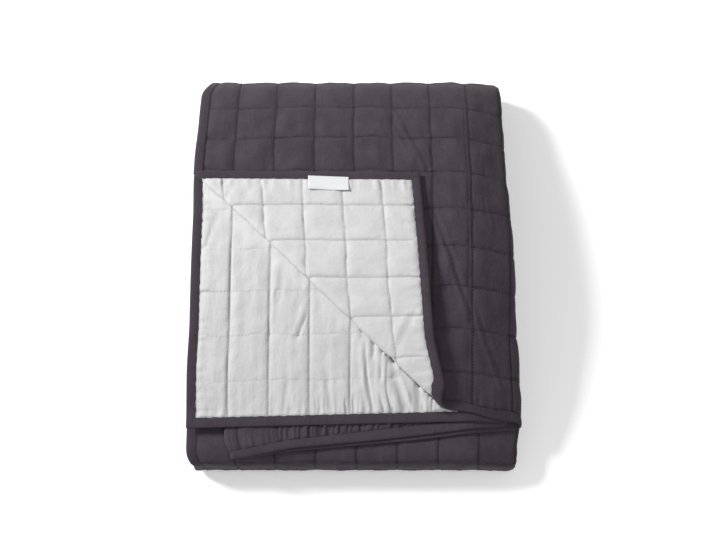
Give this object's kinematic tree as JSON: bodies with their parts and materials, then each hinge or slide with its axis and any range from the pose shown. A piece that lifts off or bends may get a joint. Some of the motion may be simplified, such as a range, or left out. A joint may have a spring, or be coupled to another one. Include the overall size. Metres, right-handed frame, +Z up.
{
  "type": "quilted bedspread",
  "caption": "Folded quilted cotton bedspread, dark face and light reverse, bound edges, with a front corner turned back; covers a bed or a sofa.",
  "frame": {"origin": "on the resting surface, under the middle of the folded pack's bounding box", "axes": "+Z up through the folded layers, +Y along the pack's length from the open front edges to the back fold, +X to the right as seen from the front"},
  "size_m": [0.413, 0.5346, 0.1205],
  "materials": {
    "face_cloth": "matt woven cotton, charcoal with a plum cast",
    "reverse_cloth": "matt woven cotton, light grey",
    "binding": "matt woven cotton tape, charcoal",
    "label": "smooth woven tape, white and blank"
  },
  "bodies": {
    "root": {"face_cloth": "face_cloth", "reverse_cloth": "reverse_cloth", "binding": "binding", "label": "label"}
  },
  "joints": []
}
